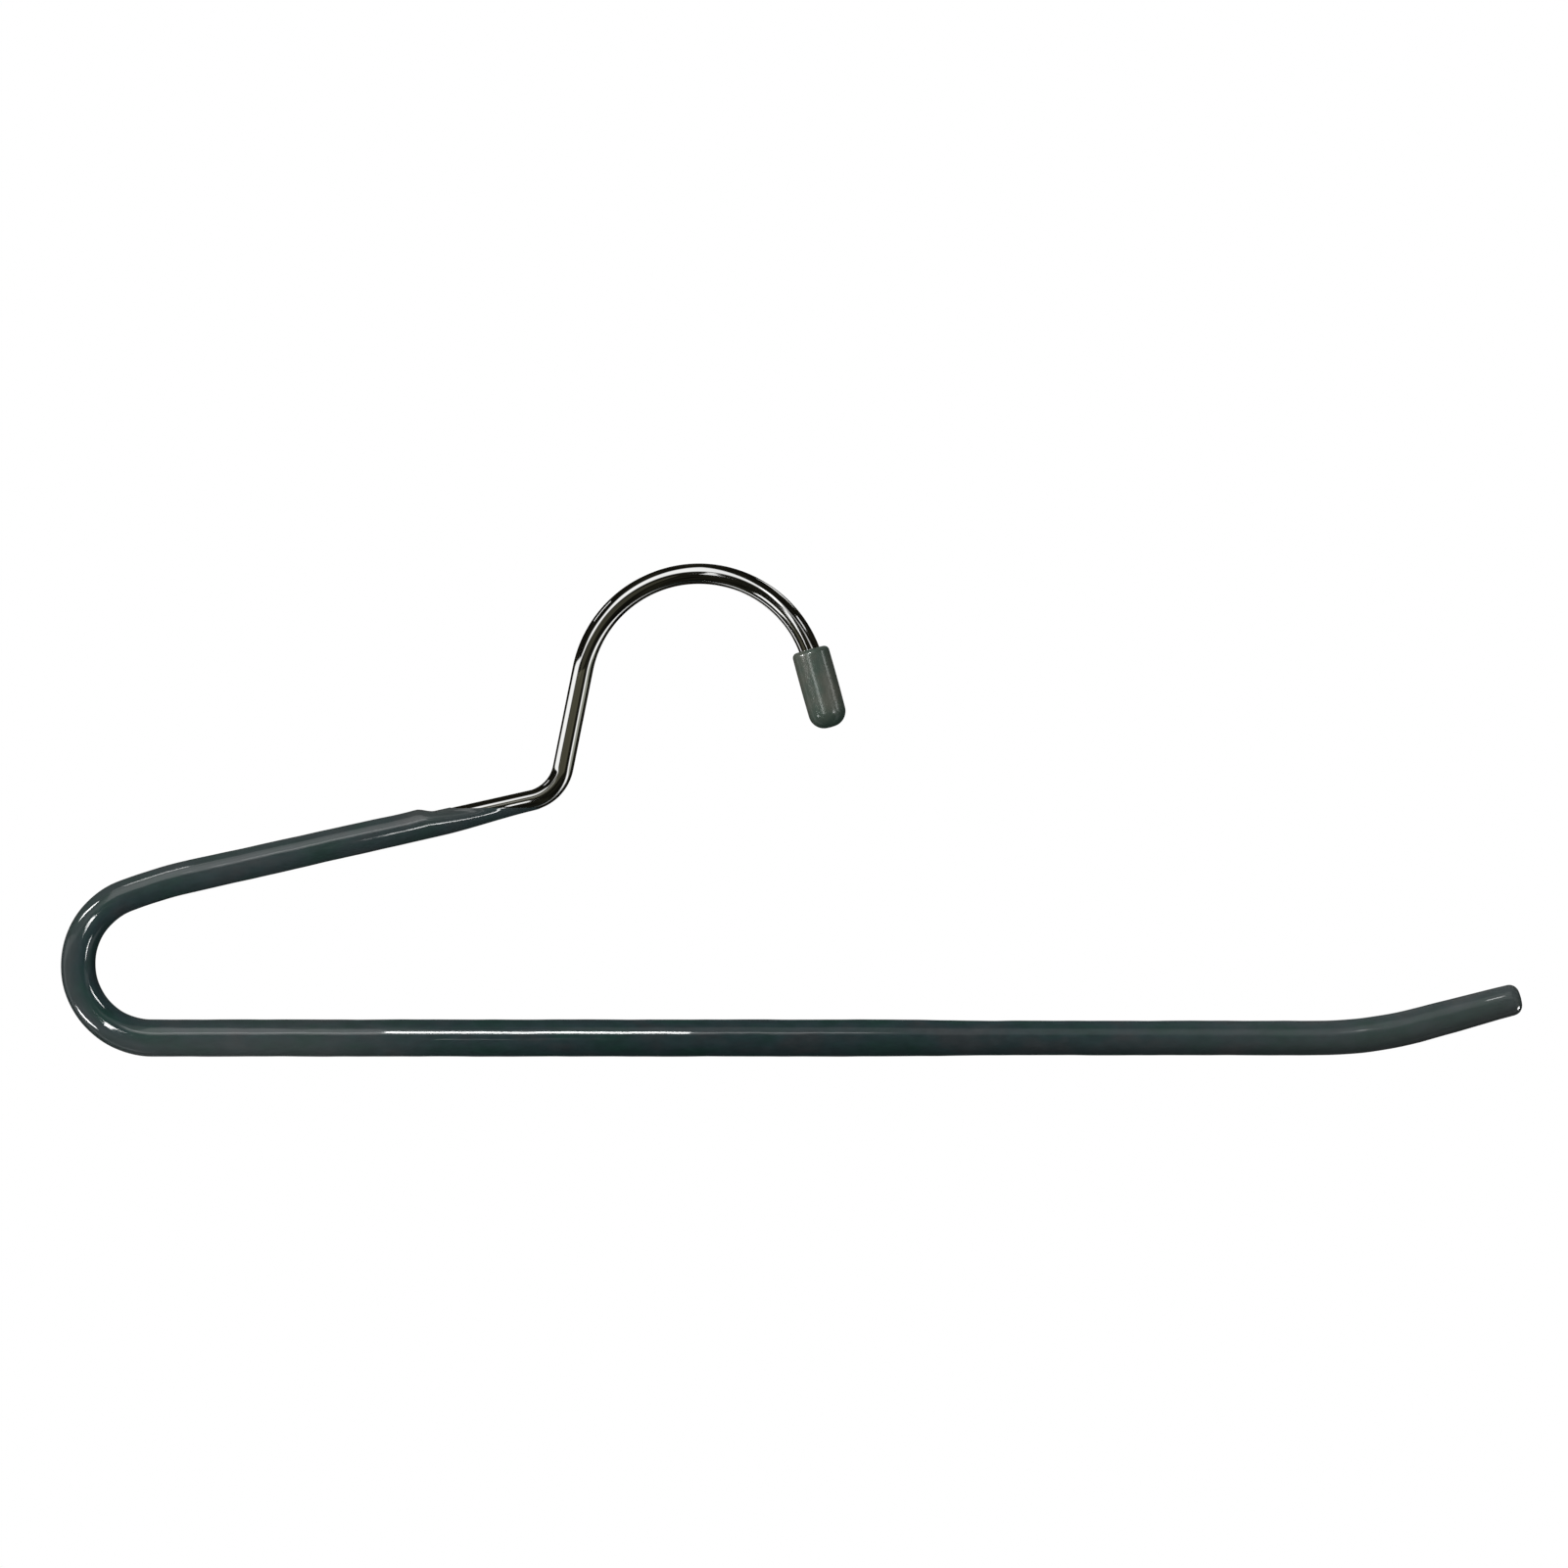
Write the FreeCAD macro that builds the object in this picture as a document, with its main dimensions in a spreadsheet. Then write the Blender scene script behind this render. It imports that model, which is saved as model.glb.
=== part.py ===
# Open-ended trouser hanger. One bent rod is hook, neck, arm, loop and trouser bar in a single length. A soft
# vinyl coat is dipped onto the arm and the bar, and a vinyl cap is pushed over the end of the hook.
#
# The hanger lies in the XZ plane with +Z up. The origin is the centre of the hook's arc, where the axis of a
# rail as wide as the hook would lie, and the bar runs along +X to its open tip.

import FreeCAD
import Part
import Sketcher
import math
import os

doc = FreeCAD.newDocument("trouser_hanger")

# Driving dimensions, in millimetres and degrees
sizes = [
    ("rod_diameter", 5.0, "drawn steel rod"),
    ("rod_end_chamfer", 0.4, "both cropped ends of the rod"),
    ("hook_radius", 28.3, "arc of the hook, on the rod's centreline"),
    ("hook_end_lean", 15.4, "angle from upright of the hook's straight end"),
    ("hook_end_length", 14.4, "straight end of the hook, inside the cap"),
    ("neck_lean", 11.3, "angle from upright of the neck"),
    ("neck_length", 24.3, "straight neck below the hook"),
    ("elbow_radius", 9.8, "bend from the neck into the arm, on the centreline"),
    ("arm_slope", 12.6, "angle from level of the arm"),
    ("arm_length", 83.2, "straight arm"),
    ("shoulder_radius", 120.0, "gentle bend at the arm's lower end, on the centreline"),
    ("shoulder_turn", 8.0, "angle that the gentle bend turns through"),
    ("loop_radius", 17.6, "tight bend from the shoulder into the bar, on the centreline"),
    ("bar_length", 279.5, "straight trouser bar"),
    ("tip_bend_radius", 92.0, "bend from the bar into the tip, on the centreline"),
    ("tip_rise", 14.9, "angle from level of the tip"),
    ("tip_length", 23.7, "straight rod in the tip"),
    ("dip_height", 55.1, "bar's axis up to the level line where the coat ends"),
    ("wall_at_dip_line", 1.05, "coat on the arm's upper end"),
    ("wall_at_loop", 1.4, "coat where the arm runs into the loop"),
    ("wall_on_bar", 1.95, "coat on the thick stretch of the bar"),
    ("wall_near_tip", 1.65, "coat on the bar's last stretch and the tip's bend"),
    ("wall_at_tip", 1.25, "coat round the end of the tip"),
    ("thick_bar_share", 0.63, "share of the bar's length under the thick coat"),
    ("drain_bar_share", 0.09, "share of the bar's length where the coat thins"),
    ("coat_end_wall", 1.8, "coat over the rod's end face"),
    ("coat_end_round", 2.4, "rounding of the coat's closed end"),
    ("cap_wall", 2.0, "cap's wall round the rod"),
    ("cap_end_wall", 2.2, "cap's closed end, beyond the rod"),
    ("cap_overlap", 2.7, "reach of the cap past the straight end, onto the hook's arc"),
    ("cap_lip_round", 1.2, "outer edge of the cap's mouth"),
    ("cap_end_round", 3.8, "rounding of the cap's closed end"),
    ("cap_lead_in", 0.5, "bevel inside the cap's mouth"),
    ("overrun", 5.0, "how far a cut runs past what it cuts"),
]

sheet = doc.addObject("Spreadsheet::Sheet", "Sizes")
for row, (alias, value, note) in enumerate(sizes, start=1):
    sheet.set(f"A{row}", alias)
    sheet.set(f"B{row}", str(value))
    sheet.set(f"C{row}", note)
    sheet.setAlias(f"B{row}", alias)
doc.recompute()


def number(expression):
    return float(sheet.evalExpression(expression))


def unit(heading):
    return FreeCAD.Vector(math.cos(math.radians(heading)), math.sin(math.radians(heading)), 0)


def add_body(name):
    body = doc.addObject("PartDesign::Body", name)
    doc.recompute()
    return body


def add_sketch(body, name, plane):
    sketch = body.newObject("Sketcher::SketchObject", name)
    support = [feature for feature in body.Origin.OriginFeatures if feature.Role == plane]
    sketch.AttachmentSupport = [(support[0], "")]
    sketch.MapMode = "FlatFace"
    return sketch


def bind(sketch, name, expression, *constraint):
    index = sketch.addConstraint(Sketcher.Constraint(*constraint))
    sketch.renameConstraint(index, name)
    sketch.setExpression(f"Constraints.{name}", expression)


# The path of the rod, from the end of the hook to the tip of the bar. A line has its length and its heading.
# An arc has its radius and the side that it turns to. It turns until the line after it, or has its own turn.
HOOK = [
    ("line", "hook_end", "Sizes.hook_end_length", "90 + Sizes.hook_end_lean"),
    ("left", "hook", "Sizes.hook_radius", None),
]
ARM = [
    ("line", "neck", "Sizes.neck_length", "270 - Sizes.neck_lean"),
    ("right", "elbow", "Sizes.elbow_radius", None),
    ("line", "arm", "Sizes.arm_length", "180 + Sizes.arm_slope"),
    ("left", "shoulder", "Sizes.shoulder_radius", "Sizes.shoulder_turn"),
    ("left", "loop", "Sizes.loop_radius", None),
]
ROD_BAR = [
    ("line", "bar", "Sizes.bar_length", "0"),
    ("left", "tip_bend", "Sizes.tip_bend_radius", None),
    ("line", "tip", "Sizes.tip_length", "Sizes.tip_rise"),
]
COAT_BAR = [
    ("line", "thick_bar", "Sizes.bar_length * Sizes.thick_bar_share", "0"),
    ("line", "drain_bar", "Sizes.bar_length * Sizes.drain_bar_share", "0"),
    ("line", "thin_bar", "Sizes.bar_length * (1 - Sizes.thick_bar_share - Sizes.drain_bar_share)", "0"),
    ("left", "tip_bend", "Sizes.tip_bend_radius", None),
    ("line", "tip", "Sizes.tip_length + Sizes.coat_end_wall", "Sizes.tip_rise"),
]

# How far the bar's axis lies below the origin
LOOP_SLOPE = "(Sizes.arm_slope + Sizes.shoulder_turn)"
BAR_DROP = (
    "Sizes.neck_length * cos(Sizes.neck_lean) - Sizes.hook_radius * sin(Sizes.neck_lean)"
    " + Sizes.elbow_radius * (cos(Sizes.arm_slope) - sin(Sizes.neck_lean))"
    " + Sizes.arm_length * sin(Sizes.arm_slope)"
    f" + Sizes.shoulder_radius * (cos(Sizes.arm_slope) - cos({LOOP_SLOPE}))"
    f" + Sizes.loop_radius * (1 + cos({LOOP_SLOPE}))"
)


def exit_headings(moves):
    """The heading, in degrees, at the end of each move."""
    headings = []
    for index, (kind, label, size, angle) in enumerate(moves):
        if kind == "line":
            headings.append(number(angle))
        elif angle:
            headings.append(headings[-1] + number(angle) * (1 if kind == "left" else -1))
        else:
            headings.append(number(moves[index + 1][3]))
    return headings


def add_path(body, name, moves, guides=0):
    """Draws the moves as one chain of tangent lines and arcs. The first ones may be guides only."""
    path = add_sketch(body, name, "XZ_Plane")
    headings = exit_headings(moves)
    point = -unit(headings[0]) * number(moves[0][2]) - unit(headings[0] + 90) * number(moves[1][2])
    leave = None
    for index, (kind, label, size, angle) in enumerate(moves):
        length = number(size)
        came_from = leave
        if kind == "line":
            start, point = point, point + unit(headings[index]) * length
            path.addGeometry(Part.LineSegment(start, point), index < guides)
            entry, leave = 1, 2
        else:
            side = 90 if kind == "left" else -90
            first, last = headings[index - 1] - side, headings[index] - side
            centre = point - unit(first) * length
            point = centre + unit(last) * length
            entry, leave = (1, 2) if kind == "left" else (2, 1)
            span = (first, last) if kind == "left" else (last, first)
            circle = Part.Circle(centre, FreeCAD.Vector(0, 0, 1), length)
            path.addGeometry(Part.ArcOfCircle(circle, *map(math.radians, span)), index < guides)
        if index:
            both_lines = kind == "line" and moves[index - 1][0] == "line"
            joint = "Coincident" if both_lines else "Tangent"
            path.addConstraint(Sketcher.Constraint(joint, index - 1, came_from, index, entry))
    path.addConstraint(Sketcher.Constraint("Coincident", 1, 3, -1, 1))
    for index, (kind, label, size, angle) in enumerate(moves):
        measure = ("length", "Distance") if kind == "line" else ("radius", "Radius")
        bind(path, f"{label}_{measure[0]}", size, measure[1], index, number(size))
        if angle:
            bind(path, f"{label}_angle", angle, "Angle", index, math.radians(number(angle)))
    doc.recompute()
    return path


def add_section(body, name, path, edge, place_share, diameter):
    """A circle square to one edge of the path, at a share of that edge's length."""
    section = body.newObject("Sketcher::SketchObject", name)
    section.AttachmentSupport = [(path, edge)]
    section.MapMode = "NormalToEdge"
    section.MapPathParameter = place_share
    axis = FreeCAD.Vector(0, 0, 1)
    section.addGeometry(Part.Circle(FreeCAD.Vector(), axis, number(diameter) / 2), False)
    section.addConstraint(Sketcher.Constraint("Coincident", 0, 3, -1, 1))
    bind(section, "diameter", diameter, "Diameter", 0, number(diameter))
    return section


def rim_at(feature, point):
    """The name of the edge that runs round a point, such as the rim of an end face."""
    away = [(edge.CenterOfGravity - point).Length for edge in feature.Shape.Edges]
    return f"Edge{away.index(min(away)) + 1}"


def path_end(path, first):
    edges = path.Shape.Edges
    return edges[0].firstVertex(True).Point if first else edges[-1].lastVertex(True).Point


def dress_edges(body, kind, name, base, rims, size):
    """A Fillet or Chamfer on the named edges of the feature before it."""
    feature = body.newObject(f"PartDesign::{kind}", name)
    feature.Base = (base, rims)
    feature.setExpression("Radius" if kind == "Fillet" else "Size", size)
    doc.recompute()
    return feature


def add_straight(body, name, path, edge, length, start_wall, end_wall):
    """Coat round one straight edge of the path: a cylinder, or a cone where its wall changes."""
    even = start_wall == end_wall
    stretch = body.newObject(f"PartDesign::Additive{'Cylinder' if even else 'Cone'}", name)
    stretch.AttachmentSupport = [(path, edge)]
    stretch.MapMode = "NormalToEdge"
    stretch.MapReversed = True
    stretch.setExpression("Radius" if even else "Radius1", f"Sizes.rod_diameter / 2 + {start_wall}")
    if not even:
        stretch.setExpression("Radius2", f"Sizes.rod_diameter / 2 + {end_wall}")
    stretch.setExpression("Height", length)
    doc.recompute()
    return stretch


def add_bend(body, name, path, edge, start_wall, end_wall):
    """Coat swept along one curved edge of the path, from one wall to the other."""
    walls = [start_wall] if start_wall == end_wall else [start_wall, end_wall]
    sections = [
        add_section(body, f"{name}_section_{share}", path, edge, share, f"Sizes.rod_diameter + 2 * {wall}")
        for share, wall in enumerate(walls)
    ]
    doc.recompute()
    bend = body.newObject("PartDesign::AdditivePipe", name)
    bend.Profile = sections[0]
    bend.Spine = (path, [edge])
    if len(sections) > 1:
        bend.Sections = sections[1:]
        bend.Transformation = "Multisection"
    doc.recompute()
    return bend


# The rod is swept along the whole path and bevelled at its two cropped ends
rod = add_body("bent_rod")
rod_path = add_path(rod, "rod_path", HOOK + ARM + ROD_BAR)
rod_sweep = rod.newObject("PartDesign::AdditivePipe", "rod_sweep")
rod_sweep.Profile = add_section(rod, "rod_section", rod_path, "Edge1", 0, "Sizes.rod_diameter")
rod_sweep.Spine = (rod_path, [])
doc.recompute()
rod_rims = [rim_at(rod_sweep, path_end(rod_path, first)) for first in (True, False)]
dress_edges(rod, "Chamfer", "rod_ends", rod_sweep, rod_rims, "Sizes.rod_end_chamfer")

# The coat is built stretch by stretch, because its wall sags from thin at the dip line to thick on the bar. A
# straight stretch is a cylinder or a cone, and a bend is swept from one wall to the next.
coat_blank = add_body("coat_blank")
coat_path = add_path(coat_blank, "coat_path", HOOK + ARM + COAT_BAR, guides=len(HOOK))
coat_walls = {
    "neck": ("Sizes.wall_at_dip_line", "Sizes.wall_at_dip_line"),
    "elbow": ("Sizes.wall_at_dip_line", "Sizes.wall_at_dip_line"),
    "arm": ("Sizes.wall_at_dip_line", "Sizes.wall_at_loop"),
    "shoulder": ("Sizes.wall_at_loop", "Sizes.wall_at_loop"),
    "loop": ("Sizes.wall_at_loop", "Sizes.wall_on_bar"),
    "thick_bar": ("Sizes.wall_on_bar", "Sizes.wall_on_bar"),
    "drain_bar": ("Sizes.wall_on_bar", "Sizes.wall_near_tip"),
    "thin_bar": ("Sizes.wall_near_tip", "Sizes.wall_near_tip"),
    "tip_bend": ("Sizes.wall_near_tip", "Sizes.wall_near_tip"),
    "tip": ("Sizes.wall_near_tip", "Sizes.wall_at_tip"),
}
for index, (kind, label, size, angle) in enumerate(ARM + COAT_BAR, start=1):
    edge = f"Edge{index}"
    start_wall, end_wall = coat_walls[label]
    if kind == "line":
        stretch = add_straight(coat_blank, f"{label}_coat", coat_path, edge, size, start_wall, end_wall)
    else:
        stretch = add_bend(coat_blank, f"{label}_coat", coat_path, edge, start_wall, end_wall)
coat_rim = rim_at(stretch, path_end(coat_path, False))
coat_end = dress_edges(coat_blank, "Fillet", "coat_end", stretch, [coat_rim], "Sizes.coat_end_round")

# All coat above the level dip line is cut away
dip_cut = add_sketch(coat_blank, "dip_cut", "XY_Plane")
dip_cut.setExpression("AttachmentOffset.Base.z", f"Sizes.dip_height - ({BAR_DROP})")
reach = "Sizes.hook_radius + Sizes.arm_length"
half_width = "Sizes.rod_diameter / 2 + Sizes.wall_at_dip_line + Sizes.overrun"
left, front = -number(reach), -number(half_width)
corners = [(left, front), (0, front), (0, -front), (left, -front)]
for index, (x, y) in enumerate(corners):
    following = corners[(index + 1) % len(corners)]
    dip_cut.addGeometry(Part.LineSegment(FreeCAD.Vector(x, y, 0), FreeCAD.Vector(*following, 0)), False)
for index in range(len(corners)):
    following = (index + 1) % len(corners)
    dip_cut.addConstraint(Sketcher.Constraint("Coincident", index, 2, following, 1))
    dip_cut.addConstraint(Sketcher.Constraint("Vertical" if index % 2 else "Horizontal", index))
dip_cut.addConstraint(Sketcher.Constraint("Symmetric", 1, 1, 1, 2, -1, 1))
bind(dip_cut, "reach", reach, "Distance", 0, -left)
bind(dip_cut, "width", f"2 * ({half_width})", "Distance", 1, -2 * front)
dip_line = coat_blank.newObject("PartDesign::Pocket", "dip_line")
dip_line.Profile = dip_cut
dip_line.Type = "ThroughAll"
dip_line.Reversed = True
doc.recompute()
if dip_line.Shape.Volume >= coat_end.Shape.Volume:
    raise RuntimeError("the dip line cut nothing away")

# The coat cured on the rod, so its bore is the rod itself
grip_coat = doc.addObject("Part::Cut", "grip_coat")
grip_coat.Base = coat_blank
grip_coat.Tool = rod

# The cap stands on its closed end in its own frame, and is laid along the hook's straight end
cap_blank = add_body("cap_blank")
cap_outside = "Sizes.rod_diameter + 2 * Sizes.cap_wall"
cap_length = "Sizes.cap_end_wall + Sizes.hook_end_length + Sizes.cap_overlap"
cap_circle = add_sketch(cap_blank, "cap_circle", "XY_Plane")
cap_circle.addGeometry(Part.Circle(FreeCAD.Vector(), FreeCAD.Vector(0, 0, 1), number(cap_outside) / 2), False)
cap_circle.addConstraint(Sketcher.Constraint("Coincident", 0, 3, -1, 1))
bind(cap_circle, "diameter", cap_outside, "Diameter", 0, number(cap_outside))
cap_wall = cap_blank.newObject("PartDesign::Pad", "cap_wall")
cap_wall.Profile = cap_circle
cap_wall.setExpression("Length", cap_length)
doc.recompute()
mouth = FreeCAD.Vector(0, 0, number(cap_length))
cap_end = dress_edges(
    cap_blank, "Fillet", "cap_end", cap_wall, [rim_at(cap_wall, FreeCAD.Vector())], "Sizes.cap_end_round"
)
cap_lip = dress_edges(
    cap_blank, "Fillet", "cap_lip", cap_end, [rim_at(cap_end, mouth)], "Sizes.cap_lip_round"
)
lead_in = cap_blank.newObject("PartDesign::SubtractiveCone", "lead_in")
lead_in.setExpression("Radius1", "Sizes.rod_diameter / 2")
lead_in.setExpression("Radius2", "Sizes.rod_diameter / 2 + Sizes.cap_lead_in")
lead_in.setExpression("Height", "Sizes.cap_lead_in")
lead_in.setExpression("AttachmentOffset.Base.z", f"{cap_length} - Sizes.cap_lead_in")
doc.recompute()
if lead_in.Shape.Volume >= cap_lip.Shape.Volume:
    raise RuntimeError("the bevel in the cap's mouth cut nothing away")
end_reach = "(Sizes.hook_end_length + Sizes.cap_end_wall)"
cap_x = f"Sizes.hook_radius * cos(Sizes.hook_end_lean) + {end_reach} * sin(Sizes.hook_end_lean)"
cap_z = f"Sizes.hook_radius * sin(Sizes.hook_end_lean) - {end_reach} * cos(Sizes.hook_end_lean)"
cap_turn = "rotation(vector(0; 1; 0); -Sizes.hook_end_lean)"
cap_blank.setExpression("Placement", f"placement(vector({cap_x}; 0; {cap_z}); {cap_turn})")

# The cap is stretched over the rod's end and takes its shape
hook_cap = doc.addObject("Part::Cut", "hook_cap")
hook_cap.Base = cap_blank
hook_cap.Tool = rod
doc.recompute()

for item in doc.Objects:
    if "Invalid" in item.State or "Error" in item.State:
        raise RuntimeError(f"{item.Label} failed: {item.State}")

os.makedirs("parts", exist_ok=True)
for piece in (rod, grip_coat, hook_cap):
    shape = piece.Shape
    if shape.isNull() or not shape.isValid() or len(shape.Solids) != 1:
        raise RuntimeError(f"{piece.Label} is not one sound solid")
    print(f"{piece.Label}: {shape.Volume:.1f} mm3")
for piece in (rod, grip_coat, hook_cap):
    piece.Shape.exportStep(f"parts/{piece.Label}.step")
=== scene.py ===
import math
import bpy
import numpy as np
from mathutils import Matrix, Vector


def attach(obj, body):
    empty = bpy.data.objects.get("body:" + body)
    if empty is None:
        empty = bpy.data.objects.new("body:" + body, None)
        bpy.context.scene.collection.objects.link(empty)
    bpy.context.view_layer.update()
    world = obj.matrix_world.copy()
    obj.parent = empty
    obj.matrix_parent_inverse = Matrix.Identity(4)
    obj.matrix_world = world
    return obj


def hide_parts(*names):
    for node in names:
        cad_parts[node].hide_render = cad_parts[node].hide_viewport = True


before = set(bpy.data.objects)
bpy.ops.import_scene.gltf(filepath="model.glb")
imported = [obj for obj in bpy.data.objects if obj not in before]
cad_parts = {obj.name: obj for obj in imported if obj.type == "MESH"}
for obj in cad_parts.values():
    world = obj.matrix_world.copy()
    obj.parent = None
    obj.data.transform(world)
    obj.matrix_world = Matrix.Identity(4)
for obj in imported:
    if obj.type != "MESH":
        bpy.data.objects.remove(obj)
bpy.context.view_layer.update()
mm = 0.001
print("frame loaded, nodes:", ", ".join(sorted(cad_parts)))


# centre line of the rod in mm, in the XZ plane, from the hook's free end to the tip
# each stretch: name, length or bend radius, turn in degrees (left is positive, 0 is straight)
rodRoute = {
    "firstHeading": 105.4,
    "stretches": (
        ("hookEnd", 14.4, 0.0),
        ("hook", 28.3, 153.3),
        ("neck", 24.3, 0.0),
        ("elbow", 9.8, -66.1),
        ("arm", 83.2, 0.0),
        ("shoulder", 120.0, 8.0),
        ("loop", 17.6, 159.4),
        ("bar", 279.5, 0.0),
        ("tipBend", 92.0, 14.9),
        ("tip", 23.7, 0.0),
    ),
}


def layRoute(shape):
    heading = math.radians(shape["firstHeading"])
    endLength, hookRadius = (size for _, size, _ in shape["stretches"][:2])
    # the hook's arc is centred on the origin
    x = math.sin(heading) * hookRadius - math.cos(heading) * endLength
    z = -math.cos(heading) * hookRadius - math.sin(heading) * endLength
    run = 0.0
    rows = []
    marks = {}
    for name, size, turn in shape["stretches"]:
        length = size * math.radians(abs(turn)) if turn else size
        bend = math.copysign(1.0 / size, turn) if turn else 0.0
        rows.append((run, x, z, heading, bend))
        after = heading + bend * length
        if turn:
            x += (math.sin(after) - math.sin(heading)) / bend
            z += (math.cos(heading) - math.cos(after)) / bend
        else:
            x += math.cos(heading) * length
            z += math.sin(heading) * length
        heading = after
        marks[name] = (run, run + length)
        run += length
    return np.array(rows), marks, run


routeRows, routeMarks, rodLength = layRoute(rodRoute)


def placeOnRoute(run):
    which = np.searchsorted(routeRows[:, 0], run, side="right") - 1
    start, x, z, heading, bend = routeRows[np.clip(which, 0, None)].T
    along = run.T - start
    after = heading + bend * along
    safeBend = np.where(bend == 0, 1.0, bend)
    x = x + np.where(bend == 0, along * np.cos(heading), (np.sin(after) - np.sin(heading)) / safeBend)
    z = z + np.where(bend == 0, along * np.sin(heading), (np.cos(heading) - np.cos(after)) / safeBend)
    return x.T, z.T, after.T


# points of a skin round the rod, and its own unrolled place for the textures
def skinRound(run, radius, turn):
    run, radius, turn = np.broadcast_arrays(run, radius, turn)
    x, z, heading = placeOnRoute(run)
    side = radius * np.cos(turn)
    front = radius * np.sin(turn)
    points = np.stack((x - side * np.sin(heading), -front, z + side * np.cos(heading)), -1)
    spots = np.stack((run, side, front), -1)
    return points * mm, spots * mm


# runs between two marks, closer together in the bends
def rowRuns(first, last, straightStep, bendStep):
    runs = [first]
    for (start, end), bend in zip(routeMarks.values(), routeRows[:, -1]):
        low, high = max(start, first), min(end, last)
        if high <= low:
            continue
        count = math.ceil((high - low) / (bendStep if bend else straightStep))
        runs.extend(np.linspace(low, high, count + 1)[1:])
    return np.array(runs)


def addObject(name, data):
    item = bpy.data.objects.new(name, data)
    bpy.context.scene.collection.objects.link(item)
    return item


# one closed skin from rings of points, with both ends shut
def ringMesh(name, points, spots, sharpAngle):
    rows, columns = points.shape[:2]
    index = np.arange(rows * columns).reshape(rows, columns)
    beside = np.roll(index, -1, axis=1)
    quads = np.stack((index[:-1], beside[:-1], beside[1:], index[1:]), -1).reshape(-1, 4)
    faces = quads.tolist() + [index[0, ::-1].tolist(), index[-1].tolist()]
    mesh = bpy.data.meshes.new(name)
    mesh.from_pydata(points.reshape(-1, 3).tolist(), [], faces)
    mesh.polygons.foreach_set("use_smooth", [True] * len(mesh.polygons))
    mesh.set_sharp_from_angle(angle=math.radians(sharpAngle))
    spot = mesh.attributes.new("rodSpot", "FLOAT_VECTOR", "POINT")
    spot.data.foreach_set("vector", spots.reshape(-1).astype(np.float32))
    mesh.update()
    return addObject(name, mesh)


# a node with its settings; an input that is a socket gets linked, anything else is set
def addNode(tree, kind, inputs=None, **settings):
    node = tree.nodes.new(kind)
    for key, value in settings.items():
        setattr(node, key, value)
    for key, value in (inputs or {}).items():
        if isinstance(value, bpy.types.NodeSocket):
            tree.links.new(value, node.inputs[key])
        else:
            node.inputs[key].default_value = value
    return node


def addRamp(tree, factor, stops):
    node = addNode(tree, "ShaderNodeValToRGB", {"Fac": factor})
    ramp = node.color_ramp
    while len(ramp.elements) < len(stops):
        ramp.elements.new(0.5)
    for element, (place, colour) in zip(ramp.elements, stops):
        element.position = place
        element.color = (*colour, 1.0)
    return node.outputs["Color"]


noiseSpan = (0.3, 0.7)  # most values of a noise lie between these
noiseShift = Vector((1.0, 0.7, 0.3))  # the way in which noises are moved apart


# noise that follows the piece; stretch is how many marks to the metre along and across
def addGrain(tree, spot, stretch, detail=2.0, rough=0.5, shift=0.0):
    mapping = addNode(tree, "ShaderNodeMapping", {
        "Vector": spot,
        "Location": noiseShift * shift,
        "Scale": stretch,
    })
    noise = addNode(tree, "ShaderNodeTexNoise", {
        "Vector": mapping.outputs["Vector"],
        "Scale": 1.0,
        "Detail": detail,
        "Roughness": rough,
    })
    return noise.outputs["Fac"]


# sockets 6 and 7 of a mix are its two colours, and output 2 is the mixed one
def mixColours(tree, factor, first, second):
    node = addNode(tree, "ShaderNodeMix", {0: factor, 6: first, 7: second}, data_type="RGBA")
    return node.outputs[2]


def mapTo(tree, value, fromLow, fromHigh, toLow, toHigh):
    node = addNode(tree, "ShaderNodeMapRange", {
        "Value": value,
        "From Min": fromLow,
        "From Max": fromHigh,
        "To Min": toLow,
        "To Max": toHigh,
    })
    return node.outputs["Result"]


def addBump(tree, height, depth, under=None):
    inputs = {"Height": height, "Distance": depth, "Strength": 1.0}
    if under is not None:
        inputs["Normal"] = under
    return addNode(tree, "ShaderNodeBump", inputs).outputs["Normal"]


def bareFinish(name):
    finish = bpy.data.materials.new(name)
    finish.use_nodes = True
    finish.node_tree.nodes.clear()
    return finish, finish.node_tree


def newFinish(name):
    finish, tree = bareFinish(name)
    shader = addNode(tree, "ShaderNodeBsdfPrincipled")
    addNode(tree, "ShaderNodeOutputMaterial", {"Surface": shader.outputs["BSDF"]})
    spot = addNode(tree, "ShaderNodeAttribute", attribute_name="rodSpot").outputs["Vector"]
    return finish, tree, shader, spot


def dress(piece, node, finish):
    piece.data.materials.append(finish)
    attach(piece, "root")
    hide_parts(node)


# bent chrome rod
chromeRod = {
    "radius": 2.5,
    "endBevel": 0.4,
    "columns": 48,
    "straightStep": 3.0,
    "bendStep": 0.7,
    "sharpAngle": 30.0,
    "brightPlate": (0.90, 0.90, 0.885),
    "dullPlate": (0.80, 0.805, 0.80),
    "smudges": (70.0, 190.0, 190.0),
    "dullSpan": (0.35, 0.75),  # values of the smudges from bright to dull, and from smooth to rough
    "roughSpan": (0.3, 0.75),
    "smoothest": 0.03,
    "roughest": 0.09,
    "drawLines": (45.0, 3200.0, 3200.0),
    "drawDepth": 0.3e-6,
    "plateWaves": (140.0, 260.0, 260.0),
    "waveDepth": 2.5e-6,
}


def makeRodPiece(spec):
    turn = np.linspace(0, 2 * math.pi, spec["columns"], endpoint=False)
    bevel = spec["endBevel"]
    runs = rowRuns(bevel, rodLength - bevel, spec["straightStep"], spec["bendStep"])
    runs = np.concatenate(([0.0], runs, [rodLength]))
    radii = np.full(len(runs), spec["radius"])
    radii[[0, -1]] -= bevel
    points, spots = skinRound(runs[:, None], radii[:, None], turn[None, :])
    return ringMesh("chromeRod", points, spots, spec["sharpAngle"])


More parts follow.
